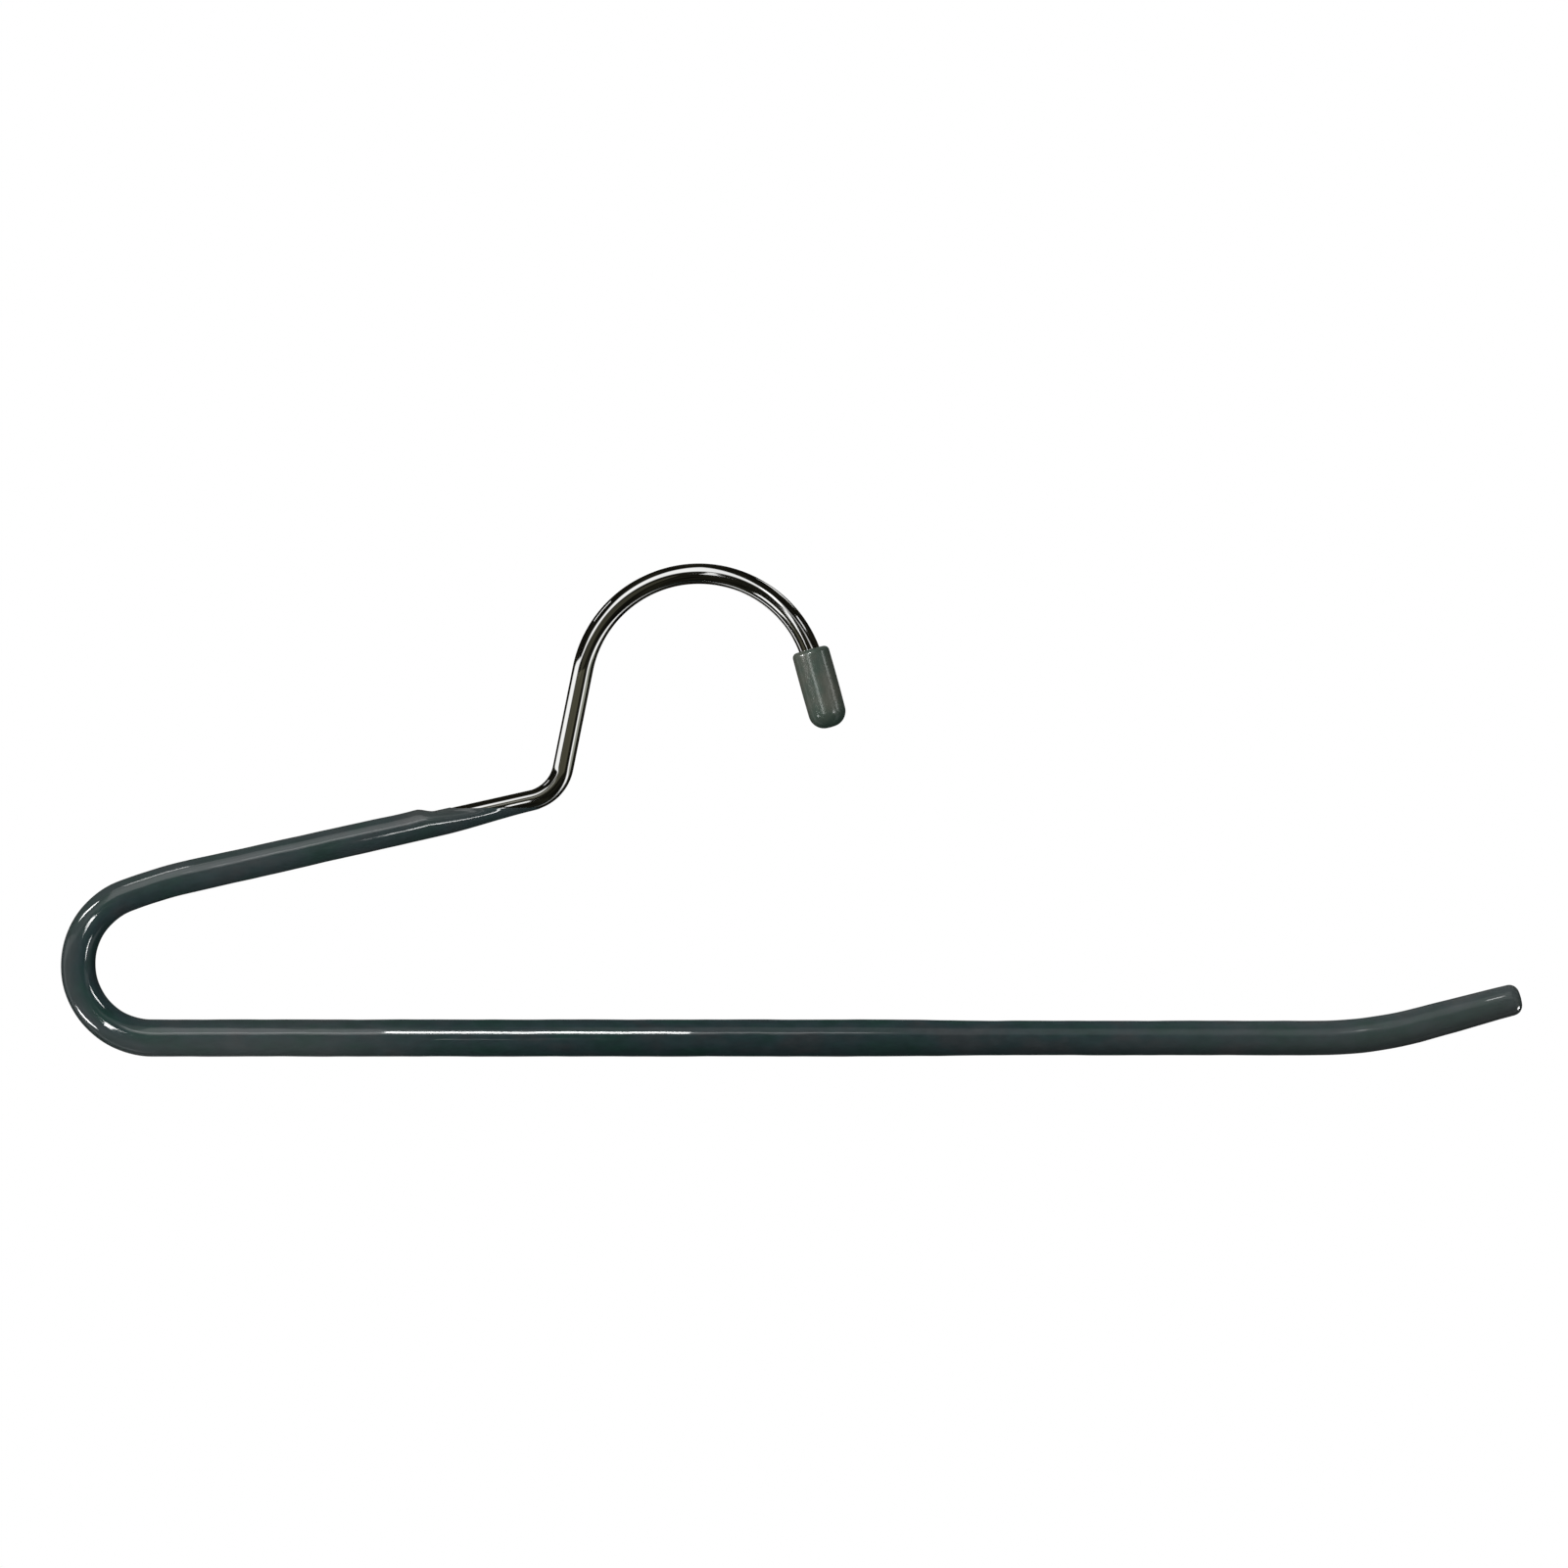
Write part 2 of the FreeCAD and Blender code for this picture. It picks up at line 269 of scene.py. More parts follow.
def makeChrome(spec):
    finish, tree, shader, spot = newFinish("brightChrome")
    smudge = addGrain(tree, spot, spec["smudges"], detail=3.0)
    lines = addGrain(tree, spot, spec["drawLines"], detail=2.0, shift=3.1)
    waves = addGrain(tree, spot, spec["plateWaves"], detail=1.0, shift=7.7)
    shader.inputs["Metallic"].default_value = 1.0
    dull = mapTo(tree, smudge, *spec["dullSpan"], 0.0, 1.0)
    plate = mixColours(tree, dull, (*spec["brightPlate"], 1.0), (*spec["dullPlate"], 1.0))
    tree.links.new(plate, shader.inputs["Base Color"])
    gloss = mapTo(tree, smudge, *spec["roughSpan"], spec["smoothest"], spec["roughest"])
    tree.links.new(gloss, shader.inputs["Roughness"])
    drawn = addBump(tree, lines, spec["drawDepth"])
    tree.links.new(addBump(tree, waves, spec["waveDepth"], drawn), shader.inputs["Normal"])
    return finish


rodPiece = makeRodPiece(chromeRod)
dress(rodPiece, "bent_rod", makeChrome(chromeRod))
print("rod made:", len(rodPiece.data.vertices), "points over", round(rodLength, 1), "mm")


# soft vinyl coat, dipped up to a level line on the arm
vinylCoat = {
    "columns": 144,
    "straightStep": 1.5,
    "bendStep": 0.7,
    "boreStep": 4.0,
    "boreBendStep": 1.2,
    "sharpAngle": 50.0,
    "dipHeight": -27.835,  # the level the coat was dipped to
    "edgeSamples": 1200,
    "edgeFilm": 0.05,
    "filmTop": 3.6,  # how far the bare film runs above the arm, none below it
    "featherTop": 4.4,  # how far the wall then takes to build up, above and below the arm
    "featherUnder": 24.0,
    "edgeBead": 0.09,
    "beadLength": 1.8,
    "edgeWaves": ((0.25, 3, 1.0), (0.15, 5, 2.2)),  # depth, waves round the rod, start
    "bandRows": 90,
    "bandCrowding": 1.6,  # above 1 the rows crowd towards the edge
    "bandLength": 14.0,
    "wallAtDipLine": 1.05,
    "wallAtLoop": 1.4,
    "wallOnBar": 1.95,
    "wallNearTip": 1.65,
    "wallAtTip": 1.25,
    "thickBarShare": 0.63,
    "drainBarShare": 0.09,
    "endWall": 1.8,
    "endRound": 2.4,
    "endRows": 12,
    "endMargin": 0.3,  # rows closer than this to the rounded end are left out
    "endDome": 0.12,
    "domeRows": 7,
    "domeLastShare": 0.08,
    "sagFadeIn": 6.0,
    "sag": ((0.022, 37.0, 1, 0.4), (0.016, 21.0, 2, 1.9), (0.012, 12.5, 1, 4.1), (0.008, 7.3, 3, 2.6)),
    "clouds": (85.0, 150.0, 150.0),
    "cloudColours": (  # deep green, slate and plum
        (0.34, (0.018, 0.046, 0.040)),
        (0.52, (0.026, 0.046, 0.050)),
        (0.68, (0.036, 0.046, 0.050)),
    ),
    "flecks": (260.0, 520.0, 520.0),
    "fleckTone": (0.88, 1.12),
    # painted sheen: the pale grey that stands in for a glossy reflection on the vinyl
    "paintedSheenVinyl": (0.088, 0.094, 0.092),
    "paintedSheenPatches": (0.8, 1.2),
    "paintedSheenSides": (1.5, -2.0),  # mm across the rod, from all inside to all outside
    # share of the painted sheen along the rod, in mm from its hook end, outside and inside of the loop
    "paintedSheenOutside": (
        (133.0, 0.30), (141.0, 0.75), (149.0, 0.70), (158.0, 0.34), (205.0, 0.38),
        (240.0, 0.40), (275.0, 0.46), (312.0, 0.50), (345.0, 0.10), (380.0, 0.02),
        (440.0, 0.04), (500.0, 0.14), (555.0, 0.45), (601.0, 0.70),
    ),
    "paintedSheenInside": (
        (125.0, 0.14), (205.0, 0.18), (226.0, 0.08), (245.0, 0.00), (262.0, 0.02),
        (275.0, 0.22), (312.0, 0.34), (345.0, 0.07), (380.0, 0.02), (440.0, 0.03),
        (500.0, 0.08), (555.0, 0.32), (601.0, 0.52),
    ),
    "ior": 1.33,
    "roughSpan": (0.35, 0.75),
    "smoothest": 0.055,
    "roughest": 0.10,
    "peel": (700.0, 900.0, 900.0),
    "peelDepth": 0.25e-6,
    "scuffs": (160.0, 2600.0, 2600.0),
    "scuffDepth": 0.05e-6,
}


def coatWall(run, spec):
    barStart, barEnd = routeMarks["bar"]
    thickEnd = barStart + spec["thickBarShare"] * (barEnd - barStart)
    drainEnd = thickEnd + spec["drainBarShare"] * (barEnd - barStart)
    walls = (
        (routeMarks["arm"][0], spec["wallAtDipLine"]),
        (routeMarks["arm"][1], spec["wallAtLoop"]),
        (routeMarks["loop"][0], spec["wallAtLoop"]),
        (routeMarks["loop"][1], spec["wallOnBar"]),
        (thickEnd, spec["wallOnBar"]),
        (drainEnd, spec["wallNearTip"]),
        (routeMarks["tip"][0], spec["wallNearTip"]),
        (rodLength, spec["wallAtTip"]),
    )
    return np.interp(run, *zip(*walls))


# where the dip level meets the rod, for each column round it
def dipEdge(turn, spec):
    runs = np.linspace(routeMarks["neck"][0], routeMarks["arm"][1], spec["edgeSamples"])
    points, _ = skinRound(runs[:, None], chromeRod["radius"], turn[None, :])
    heights = points[:, :, 2] / mm
    edge = [np.interp(-spec["dipHeight"], -heights[:, k], runs) for k in range(len(turn))]
    ripple = sum(depth * np.sin(count * turn + start) for depth, count, start in spec["edgeWaves"])
    return np.array(edge) + ripple


def makeCoatPiece(spec):
    turn = np.linspace(0, 2 * math.pi, spec["columns"], endpoint=False)
    rodRadius = chromeRod["radius"]
    edge = dipEdge(turn, spec)
    under = (1 + np.cos(turn)) / 2  # 1 below the arm, 0 above it
    feather = spec["featherTop"] + (spec["featherUnder"] - spec["featherTop"]) * under
    share = np.linspace(0, 1, spec["bandRows"]) ** spec["bandCrowding"]
    bandEnd = edge.max() + spec["bandLength"]
    bandRuns = edge[None, :] + share[:, None] * (bandEnd - edge)[None, :]
    plainRuns = rowRuns(bandEnd, rodLength, spec["straightStep"], spec["bendStep"])[1:]
    outerRuns = np.concatenate((bandRuns, np.repeat(plainRuns[:, None], len(turn), axis=1)))

    fromFilm = outerRuns - edge - spec["filmTop"] * (1 - under)
    build = np.clip(fromFilm / feather, 0, 1)
    rise = build ** 2 * (3 - 2 * build)
    wall = spec["edgeFilm"] + (coatWall(outerRuns, spec) - spec["edgeFilm"]) * rise
    past = fromFilm - feather
    wall += spec["edgeBead"] * (1 - under) * np.exp(-(past / spec["beadLength"]) ** 2)
    sag = sum(depth * np.sin(2 * math.pi * outerRuns / length + count * turn + start)
              for depth, length, count, start in spec["sag"])
    wall += sag * np.clip(past / spec["sagFadeIn"], 0, 1)

    # rounded closed end
    lastWall = wall[-1]
    arc = np.linspace(0, math.pi / 2, spec["endRows"])[1:]
    corner = spec["endRound"]
    endTop = rodLength + spec["endWall"]
    straightEnd = endTop - corner
    keep = outerRuns[:, 0] < straightEnd - spec["endMargin"]
    outerRuns = outerRuns[keep]
    outer = rodRadius + wall[keep]
    lipRadius = rodRadius + lastWall
    endRuns = (straightEnd + corner * np.sin(arc))[:, None] + 0 * turn
    endRadii = lipRadius[None, :] - corner * (1 - np.cos(arc))[:, None]
    domeShare = np.linspace(1, spec["domeLastShare"], spec["domeRows"])[1:, None]
    domeRadii = (lipRadius - corner)[None, :] * domeShare
    domeRuns = endTop + spec["endDome"] * (1 - domeShare ** 2) + 0 * turn
    outerRuns = np.concatenate((outerRuns, (straightEnd + 0 * turn)[None, :], endRuns, domeRuns))
    outer = np.concatenate((outer, lipRadius[None, :], endRadii, domeRadii))

    boreRuns = rowRuns(bandEnd, rodLength, spec["boreStep"], spec["boreBendStep"])[::-1]
    boreRuns = np.concatenate((boreRuns[:, None] + 0 * turn, edge[None, :]))
    bore = np.full(boreRuns.shape, rodRadius)
    allRuns = np.concatenate((boreRuns, outerRuns))
    points, spots = skinRound(allRuns, np.concatenate((bore, outer)), turn[None, :])
    return ringMesh("vinylCoat", points, spots, spec["sharpAngle"])


def makeCoatVinyl(spec):
    finish, tree, shader, spot = newFinish("dippedVinyl")
    clouds = addGrain(tree, spot, spec["clouds"], detail=3.0, shift=2.3)
    flecks = addGrain(tree, spot, spec["flecks"], detail=2.0, shift=5.9)
    scuffs = addGrain(tree, spot, spec["scuffs"], detail=3.0, rough=0.6, shift=1.7)
    peel = addGrain(tree, spot, spec["peel"], detail=2.0, shift=8.3)
    body = addRamp(tree, clouds, spec["cloudColours"])
    tone = mapTo(tree, flecks, *noiseSpan, *spec["fleckTone"])
    shade = addNode(tree, "ShaderNodeHueSaturation", {"Color": body, "Value": tone}).outputs["Color"]
    # painted sheen: a pale grey mixed into the vinyl's colour in place of a glossy reflection, most on
    # the outside of the loop
    place = addNode(tree, "ShaderNodeSeparateXYZ", {"Vector": spot}).outputs
    along = mapTo(tree, place["X"], 0.0, rodLength * mm, 0.0, 1.0)
    sheenInside, sheenOutside = (
        addRamp(tree, along, [(run / rodLength, (amount,) * 3) for run, amount in spec[side]])
        for side in ("paintedSheenInside", "paintedSheenOutside")
    )
    patchySheen = mapTo(tree, clouds, *noiseSpan, *spec["paintedSheenPatches"])
    allInside, allOutside = spec["paintedSheenSides"]
    side = mapTo(tree, place["Y"], allInside * mm, allOutside * mm, 0.0, 1.0)
    paintedSheen = mixColours(tree, side, sheenInside, sheenOutside)
    paintedSheen = addNode(tree, "ShaderNodeMath", {0: paintedSheen, 1: patchySheen}, operation="MULTIPLY").outputs[0]
    vinyl = mixColours(tree, paintedSheen, shade, (*spec["paintedSheenVinyl"], 1.0))
    tree.links.new(vinyl, shader.inputs["Base Color"])
    gloss = mapTo(tree, scuffs, *spec["roughSpan"], spec["smoothest"], spec["roughest"])
    tree.links.new(gloss, shader.inputs["Roughness"])
    shader.inputs["IOR"].default_value = spec["ior"]
    skin = addBump(tree, peel, spec["peelDepth"])
    tree.links.new(addBump(tree, scuffs, spec["scuffDepth"], skin), shader.inputs["Normal"])
    return finish


coatPiece = makeCoatPiece(vinylCoat)
dress(coatPiece, "grip_coat", makeCoatVinyl(vinylCoat))
print("coat made:", len(coatPiece.data.vertices), "points")


# moulded cap on the hook's free end
hookCap = {
    "columns": 64,
    "sharpAngle": 50.0,
    "outerRadius": 4.5,
    "boreRadius": 2.55,
    "boreFloorRadius": 0.3,  # innermost ring on the floor of the bore
    "mouthRun": 17.1,  # along the rod from its free end
    "endWall": 2.2,
    "endRound": 3.8,
    "endDome": 0.03,
    "domeShares": (0.7, 0.4, 0.12),
    "lipRound": 1.2,
    "leadIn": 0.5,
    "leadInSoft": 0.2,  # how far the bevel's foot is run out into the bore
    "leadInBluntShare": 0.15,
    "cornerRows": 13,
    "barrel": 0.06,
    "sideRows": 14,
    "clouds": (190.0, 260.0, 260.0),
    "cloudColours": ((0.35, (0.082, 0.112, 0.092)), (0.62, (0.118, 0.127, 0.104))),  # green and light
    # painted shade: the closed end, which faces down, is darkened in the colour
    "paintedShadeEnd": (0.032, 0.070, 0.054),
    "paintedShadeSpan": (3.5, -2.0),  # painted shade: along the rod, where the cap's colour starts to darken towards its closed end and where it is darkest
    "paintedShadeShare": 0.8,
    "ior": 1.33,
    "smoothest": 0.20,
    "roughest": 0.28,
    "grain": (1500.0, 1500.0, 1500.0),
    "grainDepth": 0.07e-6,
}


def makeCapPiece(spec):
    turn = np.linspace(0, 2 * math.pi, spec["columns"], endpoint=False)
    arc = np.linspace(0, math.pi / 2, spec["cornerRows"])
    endRun = -spec["endWall"]
    radius = spec["outerRadius"]
    bore = spec["boreRadius"]
    mouth = spec["mouthRun"]
    leadIn = spec["leadIn"]
    blunt = leadIn * spec["leadInBluntShare"]
    lip = spec["lipRound"]
    turnIn = spec["endRound"]
    flat = radius - turnIn
    low = endRun + turnIn
    high = mouth - lip
    # run along the axis and radius, from inside the bore round to the closed end
    profile = [(0.0, spec["boreFloorRadius"]), (0.0, bore)]
    profile += [(mouth - leadIn - spec["leadInSoft"], bore), (mouth - blunt, bore + leadIn - blunt)]
    profile += [(high + lip * math.cos(a), radius - lip + lip * math.sin(a)) for a in arc]
    for share in np.linspace(0, 1, spec["sideRows"] + 1)[1:-1]:
        bulge = spec["barrel"] * math.sin(math.pi * share)
        profile.append((high + (low - high) * share, radius + bulge))
    profile += [(low - turnIn * math.sin(a), flat + turnIn * math.cos(a)) for a in arc]
    for share in spec["domeShares"]:
        profile.append((endRun - spec["endDome"] * (1 - share ** 2), flat * share))
    runs, radii = np.array(profile).T
    # the cap is straight, so its rings stand on the rod's first straight, carried on past its end
    x, z, heading = placeOnRoute(np.zeros(1))
    runs, radii, turn = runs[::-1, None], radii[::-1, None], turn[None, :]
    side, front = radii * np.cos(turn), radii * np.sin(turn)
    points = np.stack((
        x + runs * np.cos(heading) - side * np.sin(heading),
        -front,
        z + runs * np.sin(heading) + side * np.cos(heading),
    ), -1)
    spots = np.stack((runs + 0 * turn, side, front), -1)
    return ringMesh("hookCap", points * mm, spots * mm, spec["sharpAngle"])


def makeCapVinyl(spec):
    finish, tree, shader, spot = newFinish("capVinyl")
    clouds = addGrain(tree, spot, spec["clouds"], detail=3.0, shift=4.4)
    grain = addGrain(tree, spot, spec["grain"], detail=2.0, shift=6.1)
    runAlong = addNode(tree, "ShaderNodeSeparateXYZ", {"Vector": spot}).outputs["X"]
    body = addRamp(tree, clouds, spec["cloudColours"])
    # painted shade: the colour darkens towards the cap's closed, downward end
    paintedShadeFrom, paintedShadeDeepest = spec["paintedShadeSpan"]
    paintedShadeToEnd = mapTo(tree, runAlong, paintedShadeFrom * mm, paintedShadeDeepest * mm, 0.0, spec["paintedShadeShare"])
    body = mixColours(tree, paintedShadeToEnd, body, (*spec["paintedShadeEnd"], 1.0))
    tree.links.new(body, shader.inputs["Base Color"])
    gloss = mapTo(tree, clouds, *noiseSpan, spec["smoothest"], spec["roughest"])
    tree.links.new(gloss, shader.inputs["Roughness"])
    shader.inputs["IOR"].default_value = spec["ior"]
    tree.links.new(addBump(tree, grain, spec["grainDepth"]), shader.inputs["Normal"])
    return finish


capPiece = makeCapPiece(hookCap)
dress(capPiece, "hook_cap", makeCapVinyl(hookCap))
print("cap made:", len(capPiece.data.vertices), "points")


# studio: a direction has two angles in degrees, polar, away from the camera's side,
# and clock, round the picture (90 is up)
studio = {
    "centre": (0.02, 0.0, -0.03),
    "worldFill": 0.32,
    "floorHeight": -0.30,
    "floorRadius": 0.75,
    "floorColumns": 96,
    "floorColour": (0.86, 0.86, 0.855),
    "floorFade": (0.22, 0.7275),  # how far from its middle the paper starts to pale, and is white
    "fibreScale": 240.0,
    "fibreDepth": 2.0e-5,
    "cardRadius": 2.4,
    "cardColumns": 120,
    "cardRows": 61,
    "cardSoftEdge": 9.0,
    "foldScale": 1.6,
    "foldSpan": (0.35, 0.7),
    "darkCloth": ((0.002, 0.002, 0.002), (0.018, 0.017, 0.011)),
    "paleCloth": ((0.24, 0.25, 0.21), (0.42, 0.43, 0.38)),
    # edges of the cards as (clock, polar); the white room shows between the two dark ones
    "roomEdge": (
        (0, 48), (30, 34), (45, 30), (58, 23), (75, 27), (120, 29), (150, 32), (160, 41),
        (166, 54), (169, 60), (180, 98), (238, 98), (250, 96), (270, 116), (315, 88),
    ),
    "drapeEdge": (
        (0, 90), (25, 34), (45, 22), (55, 26), (65, 34), (75, 45), (90, 68), (100, 60), (110, 55),
        (130, 51), (140, 41), (150, 44), (158, 41), (162, 46), (166, 100), (180, 102), (270, 96),
        (340, 90),
    ),
    "drapeEnd": ((0, 174), (180, 174)),
    "sideEdge": ((0, 40), (40, 120), (320, 120)),
    "sideEnd": ((0, 104), (40, 121), (320, 121)),
    "sideAway": 2.6,
    # small dark flag in front of the bare end of the arm
    "flagEdge": ((60, 30), (76, 17), (130, 17), (146, 30)),
    "flagEnd": ((60, 30), (76, 44), (130, 44), (146, 30)),
    "flagAway": 0.06,
    "flagCentre": (-0.048, 0.0, -0.0265),
    "white": (1.0, 1.0, 1.0),
    "olive": (1.0, 0.96, 0.66),
}
# each lamp: name, one end and the other as (polar, clock), metres away, width, brightness,
# half angle of its beam, aim
coatLamps = (
    ("barStrip", (39.6, 116), (37.8, 69), 0.15, 0.030, 70.0, 15, (-0.0396, -0.0044, -0.083)),
    ("barTail", (35, 116), (35, 80), 1.1, 0.12, 5.0, 90, (-0.045, 0.0, -0.083)),
    ("upperLeft", (60, 134), (80, 151), 0.14, 0.016, 65.0, 26, (-0.1455, -0.003, -0.052)),
    ("besideUpper", (5, 262), (15.2, 162), 0.05, 0.0026, 60.0, 45, (-0.1446, -0.0039, -0.0538)),
    ("rightLow", (52.5, -18.5), (57, -16), 0.035, 0.0046, 50.0, 26, (-0.146, -0.004, -0.0615)),
    ("rightHigh", (56.7, 27.8), (68.8, 38.7), 0.035, 0.0034, 45.0, 32, (-0.144, -0.003, -0.0727)),
    ("lowerLeft", (67, 227), (88, 208), 0.14, 0.018, 65.0, 26, (-0.1465, -0.003, -0.0783)),
    ("besideLower", (5.6, 95), (19.3, 224), 0.05, 0.0040, 60.0, 45, (-0.1411, -0.0043, -0.0792)),
    ("shoulderStrip", (72, 118.5), (72, 102.5), 0.14, 0.0175, 16.0, 28, (-0.132, 0.0, -0.045)),
    ("armSheen", (16, 112), (80, 112), 1.2, 0.6, 2.1, 90, (-0.085, 0.0, -0.038)),
    ("armStrip", (21, 316), (18.7, 262), 0.2, 0.03, 40.0, 15, (-0.065, -0.0035, -0.0325)),
    ("tipBendStreak", (36, 88), (36, 92), 0.06, 0.009, 9.0, 30, (0.160, -0.004, -0.0811)),
    ("tipStreak", (46, 97), (46, 102), 0.06, 0.009, 18.0, 25, (0.1945, -0.004, -0.0731)),
    ("tipEndSpot", (93, 319), (105, 336), 0.014, 0.005, 32.0, 35, (0.1961, -0.0027, -0.0757)),
)
capLamps = (
    ("capStreak", (24, 164), (24, 222), 0.4, 0.075, 12.0, 90, (0.0275, -0.0045, 0.003)),
    ("capSideStreak", (73, 5), (73, 27), 0.4, 0.075, 9.0, 90, (0.0275, -0.0045, 0.003)),
    ("capLip", (25, 124), (39, 116), 0.4, 0.075, 110.0, 90, (0.0265, -0.0045, 0.009)),
    ("capLipSide", (55, 178), (65, 166), 0.4, 0.07, 140.0, 90, (0.0245, -0.004, 0.009)),
    ("capEndLeft", (60, 207), (64, 210), 0.4, 0.05, 45.0, 90, (0.0285, -0.004, -0.005)),
    ("capEndRight", (43, -6), (47, -3), 0.4, 0.06, 70.0, 90, (0.0325, -0.004, -0.005)),
)
rodLamps = (
    ("hookEndHigh", (36.3, 78), (10.9, 72), 0.05, 0.008, 1.15, 90, (0.0232, -0.0025, 0.0162)),
    ("hookEndLow", (8.3, 75), (22.3, 217), 0.05, 0.004, 1.15, 90, (0.0232, -0.0025, 0.0162)),
    ("hookInner", (57, 220), (53, 238), 1.0, 0.34, 1.1, 90, (0.018, 0.0, 0.022)),
    ("hookRim", (62, 39), (62, 31), 1.0, 0.22, 0.9, 90, (0.023, 0.0, 0.016)),
    ("hookRearRim", (112, 58), (122, 48), 1.0, 0.30, 1.0, 90, (0.018, 0.0, 0.022)),
    ("hookLeftRim", (99, 134), (99, 146), 1.0, 0.18, 0.9, 90, (-0.022, 0.0, 0.018)),
    ("hookFleck", (12, 262), (16, 84), 0.05, 0.003, 0.9, 90, (0.0025, -0.0025, 0.0282)),
    ("armDash", (3.4, 192.6), (3.4, 12.6), 0.05, 0.014, 1.0, 90, (-0.0433, -0.0025, -0.035)),
    ("rearKey", (152, 50), (152, 130), 1.0, 0.45, 1.0, 90, studio["centre"]),
    ("rearSide", (152, 200), (152, 250), 1.0, 0.35, 0.9, 90, studio["centre"]),
)
neckLamps = (
    ("neckGlow", (52, 170), (34, 350), 0.04, 0.028, 0.055, 90, (-0.031, -0.0025, -0.008)),
    ("hookGlow", (30, 180), (30, 0), 0.04, 0.021, 0.035, 90, (-0.025, -0.0025, 0.0165)),
)
softLamps = (
    ("softKey", (24, 122), (60, 122), 0.62, 0.42, 4.6, 90, (-0.12, 0.0, -0.06)),
    ("softLow", (30, 235), (60, 235), 0.15, 0.08, 5.5, 32, (-0.105, 0.0, -0.083)),
    ("softTip", (30, 84), (58, 84), 0.30, 0.16, 8.5, 24, (0.17, 0.0, -0.079)),
    ("softBack", (124, 80), (160, 80), 1.3, 0.9, 3.6, 90, studio["centre"]),
)


def studioDirection(polar, clock):
    p, c = math.radians(polar), math.radians(clock)
    return Vector((math.sin(p) * math.cos(c), -math.cos(p), math.sin(p) * math.sin(c)))


# a lamp either shows in the gloss of one piece only or, with no piece, lights the matt colours only
def addLamp(name, firstEnd, otherEnd, away, width, brightness, beam, aim, tint, shownOn=None):
    first = studioDirection(*firstEnd) * away
    other = studioDirection(*otherEnd) * away
    outward = (first + other).normalized()
    along = other - first
    length = along.length
    along = (along - outward * along.dot(outward)).normalized()
    data = bpy.data.lights.new(name, "AREA")
    data.shape = "RECTANGLE"
    data.size = width
    data.size_y = length
    data.color = tint
    data.energy = brightness * math.pi * width * length
    if beam < 90:
        half = math.radians(beam)
        data.spread = 2 * half
        data.energy *= 1 - half / math.tan(half)  # a narrow beam would be brighter in the middle
    lamp = addObject(name, data)
    lamp.location = Vector(aim) + outward * away
    lamp.rotation_euler = Matrix((along.cross(outward), along, outward)).transposed().to_euler()
    lamp.visible_camera = False
    lamp.visible_glossy = shownOn is not None
    lamp.visible_diffuse = shownOn is None
    if shownOn is not None:
        lamp.light_linking.receiver_collection = shownOn


# a card that only mirror rays see, from its inner edge, or from the middle, out to its outer edge
def addCard(name, inner, outer, shades, away, centre=studio["centre"]):
    columns, rows = studio["cardColumns"], studio["cardRows"]
    clocks = np.linspace(0, 360, columns, endpoint=False)
    near = np.interp(clocks, *zip(*inner), period=360) if inner else 0 * clocks
    far = np.interp(clocks, *zip(*outer), period=360)
    points, cover = [], []
    for share in np.linspace(0, 1, rows):
        polar = near + (far - near) * share
        fromEdge = np.minimum(polar - near, far - polar) if inner else far - polar
        cover.extend(np.clip(fromEdge / studio["cardSoftEdge"], 0, 1))
        for p, c in zip(polar, clocks):
            points.append(studioDirection(p, c) * away + Vector(centre))
    faces = []
    for start in range(0, (rows - 1) * columns, columns):
        for j in range(columns):
            k = (j + 1) % columns
            faces.append((start + j, start + k, start + columns + k, start + columns + j))
    mesh = bpy.data.meshes.new(name)
    mesh.from_pydata(points, [], faces)
    shown = mesh.attributes.new("cover", "FLOAT", "POINT")
    shown.data.foreach_set("value", np.array(cover, dtype=np.float32))
    mesh.materials.append(makeCloth(name + "Cloth", shades))
    card = addObject(name, mesh)
    card.visible_camera = False
    card.visible_diffuse = False
    card.visible_shadow = False
    card.visible_transmission = False
    card.visible_volume_scatter = False


def makeCloth(name, shades):
    finish, tree = bareFinish(name)
    place = addNode(tree, "ShaderNodeTexCoord").outputs["Object"]
    folds = addNode(tree, "ShaderNodeTexNoise", {
        "Vector": place,
        "Scale": studio["foldScale"],
        "Detail": 3.0,
    })
    shade = addRamp(tree, folds.outputs["Fac"], tuple(zip(studio["foldSpan"], shades)))
    glow = addNode(tree, "ShaderNodeEmission", {"Color": shade, "Strength": 1.0})
    clear = addNode(tree, "ShaderNodeBsdfTransparent")
    cover = addNode(tree, "ShaderNodeAttribute", attribute_name="cover").outputs["Fac"]
    mix = addNode(tree, "ShaderNodeMixShader", {
        0: cover,
        1: clear.outputs["BSDF"],
        2: glow.outputs["Emission"],
    })
    addNode(tree, "ShaderNodeOutputMaterial", {"Surface": mix.outputs["Shader"]})
    return finish


def seenDirectly(tree):
    path = addNode(tree, "ShaderNodeLightPath").outputs
    seen = path["Is Camera Ray"]
    for ray in ("Is Glossy Ray", "Is Transmission Ray"):
        seen = addNode(tree, "ShaderNodeMath", {0: seen, 1: path[ray]}, operation="MAXIMUM").outputs[0]
    return seen


def makeWorld(spec):
    world = bpy.data.worlds.new("studioWorld")
    world.use_nodes = True
    tree = world.node_tree
    tree.nodes.clear()
    fill = addNode(tree, "ShaderNodeBackground", {"Color": (1, 1, 1, 1), "Strength": spec["worldFill"]})
    white = addNode(tree, "ShaderNodeBackground", {"Color": (1, 1, 1, 1), "Strength": 1.0})
    mix = addNode(tree, "ShaderNodeMixShader", {
        0: seenDirectly(tree),
        1: fill.outputs["Background"],
        2: white.outputs["Background"],
    })
    addNode(tree, "ShaderNodeOutputWorld", {"Surface": mix.outputs["Shader"]})
    bpy.context.scene.world = world


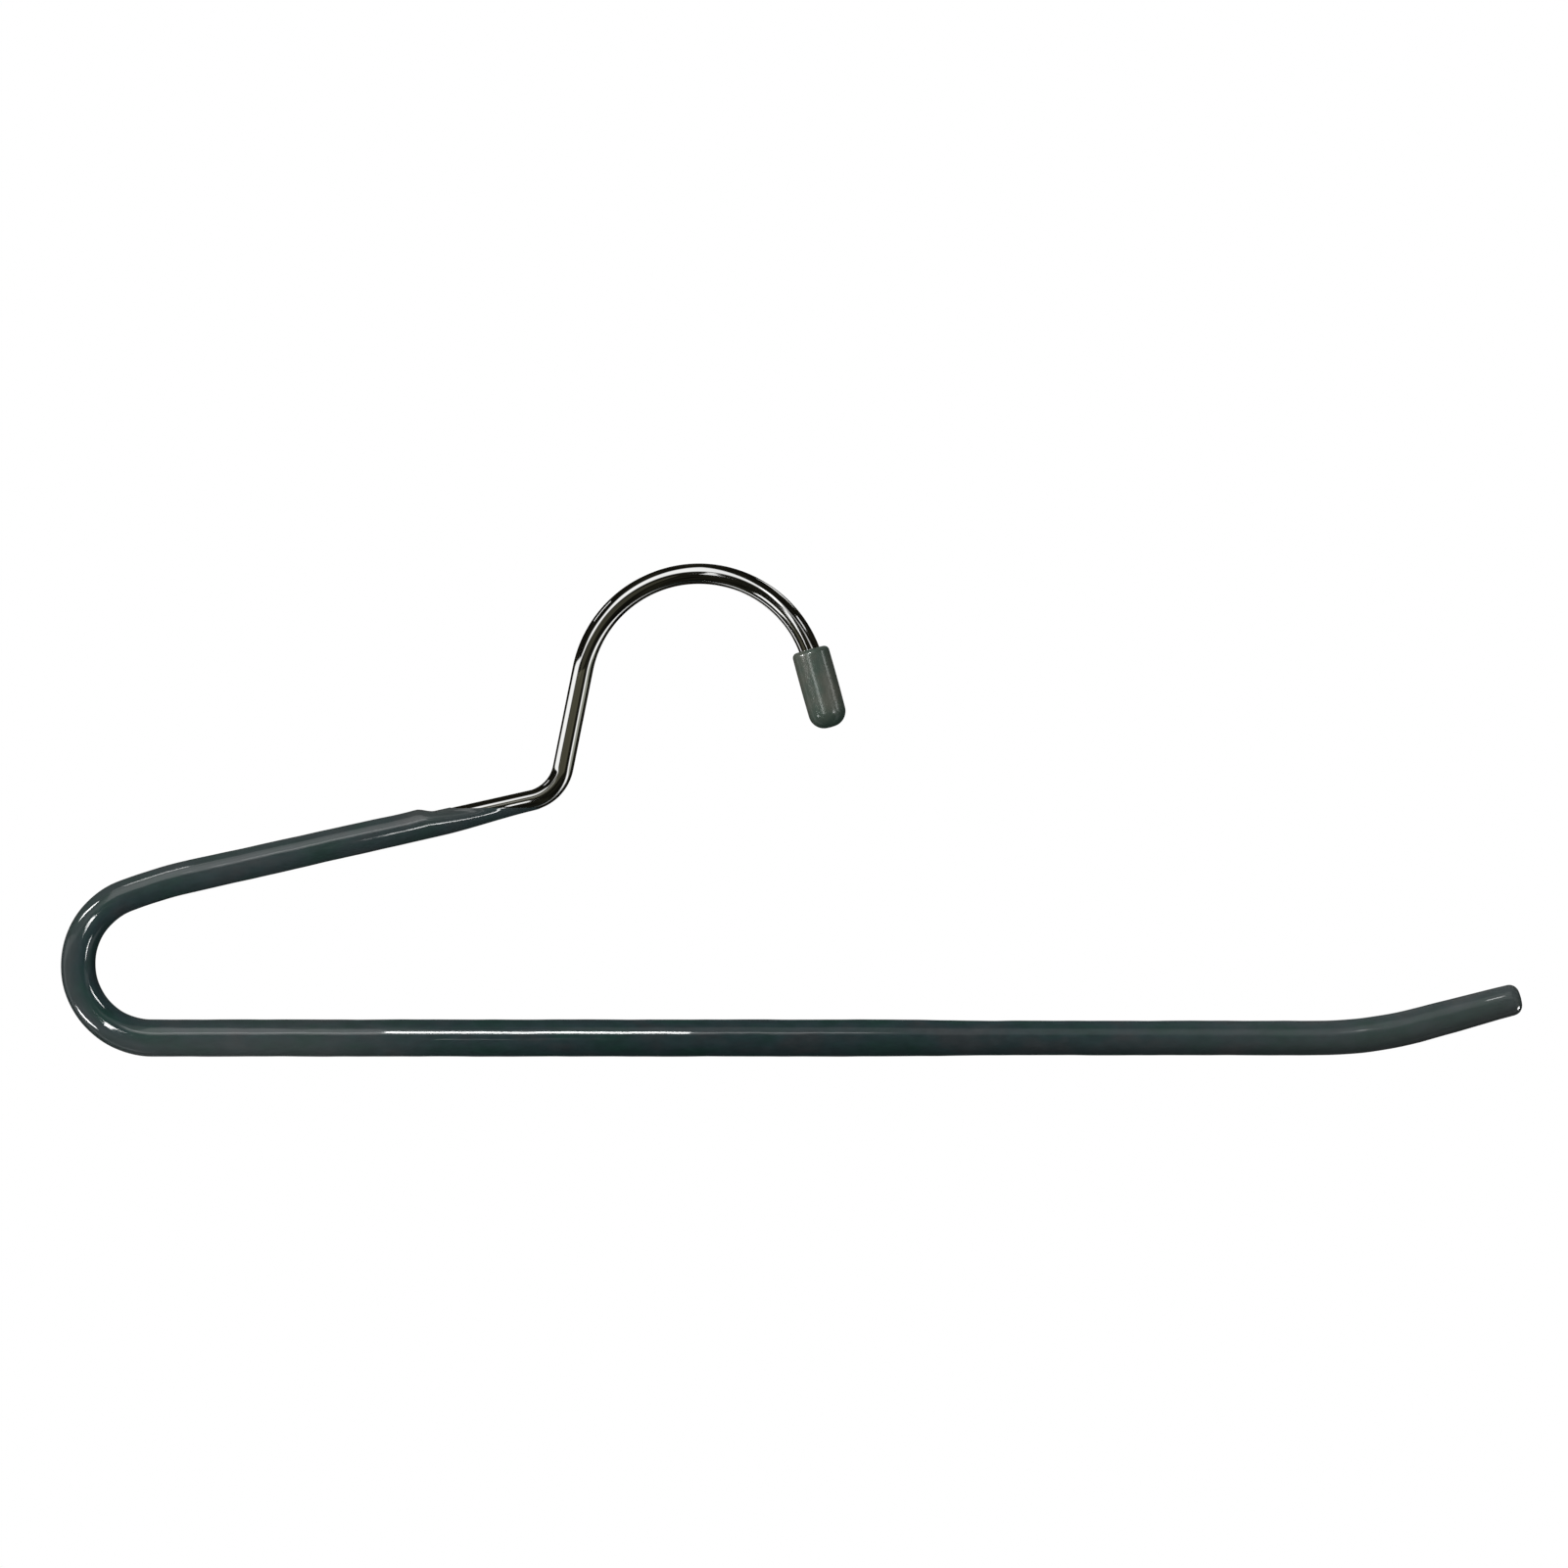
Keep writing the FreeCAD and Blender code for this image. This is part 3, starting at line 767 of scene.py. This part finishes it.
def makeFloor(spec):
    angles = np.linspace(0, 2 * math.pi, spec["floorColumns"], endpoint=False)
    radius = spec["floorRadius"]
    ring = [(math.cos(a) * radius, math.sin(a) * radius, 0.0) for a in angles]
    mesh = bpy.data.meshes.new("paleFloor")
    mesh.from_pydata(ring, [], [tuple(range(len(ring)))])
    floor = addObject("paleFloor", mesh)
    floor.location = (spec["centre"][0], 0.0, spec["floorHeight"])
    finish, tree = bareFinish("palePaper")
    place = addNode(tree, "ShaderNodeTexCoord").outputs["Object"]
    reach = addNode(tree, "ShaderNodeVectorMath", {0: place}, operation="LENGTH").outputs["Value"]
    fibre = addNode(tree, "ShaderNodeTexNoise", {
        "Vector": place,
        "Scale": spec["fibreScale"],
        "Detail": 3.0,
    })
    paper = addNode(tree, "ShaderNodeBsdfDiffuse", {
        "Color": (*spec["floorColour"], 1.0),
        "Normal": addBump(tree, fibre.outputs["Fac"], spec["fibreDepth"]),
    })
    glow = addNode(tree, "ShaderNodeEmission", {"Color": (1, 1, 1, 1), "Strength": 1.0})
    fade = mapTo(tree, reach, *spec["floorFade"], 0.0, 1.0)
    seen = addNode(tree, "ShaderNodeMath", {0: fade, 1: seenDirectly(tree)}, operation="MULTIPLY")
    mix = addNode(tree, "ShaderNodeMixShader", {
        0: seen.outputs[0],
        1: paper.outputs["BSDF"],
        2: glow.outputs["Emission"],
    })
    addNode(tree, "ShaderNodeOutputMaterial", {"Surface": mix.outputs["Shader"]})
    mesh.materials.append(finish)
    floor.visible_glossy = False
    floor.visible_diffuse = False


makeWorld(studio)
makeFloor(studio)
addCard("roomBehindCamera", None, studio["roomEdge"], studio["darkCloth"], studio["cardRadius"])
addCard("rearDrape", studio["drapeEdge"], studio["drapeEnd"], studio["darkCloth"], studio["cardRadius"])
addCard("paleSide", studio["sideEdge"], studio["sideEnd"], studio["paleCloth"], studio["sideAway"])
addCard("armFlag", studio["flagEdge"], studio["flagEnd"], studio["darkCloth"], studio["flagAway"],
        studio["flagCentre"])
lampGroups = (
    (coatPiece, coatLamps, studio["white"]),
    (capPiece, capLamps, studio["white"]),
    (rodPiece, rodLamps, studio["white"]),
    (rodPiece, neckLamps, studio["olive"]),
)
for piece, pieceLamps, tint in lampGroups:
    receivers = bpy.data.collections.new(piece.name + "Lit")
    receivers.objects.link(piece)
    for lampSpec in pieceLamps:
        addLamp(*lampSpec, tint, shownOn=receivers)
for lampSpec in softLamps:
    addLamp(*lampSpec, studio["white"])
print("studio lit with", len(bpy.data.lights), "lamps")

# camera straight in front, as in the photograph
cameraSpec = {
    "location": (0.0204, -1.565, -0.0221),
    "lens": 150.0,
    "sensor": 36.0,
    "clipStart": 0.05,
}
cameraData = bpy.data.cameras.new("camera")
cameraData.lens = cameraSpec["lens"]
cameraData.sensor_width = cameraSpec["sensor"]
cameraData.clip_start = cameraSpec["clipStart"]
camera = addObject("camera", cameraData)
camera.location = cameraSpec["location"]
camera.rotation_euler = (math.radians(90), 0.0, 0.0)
bpy.context.scene.camera = camera
bpy.context.scene.view_settings.view_transform = "Standard"
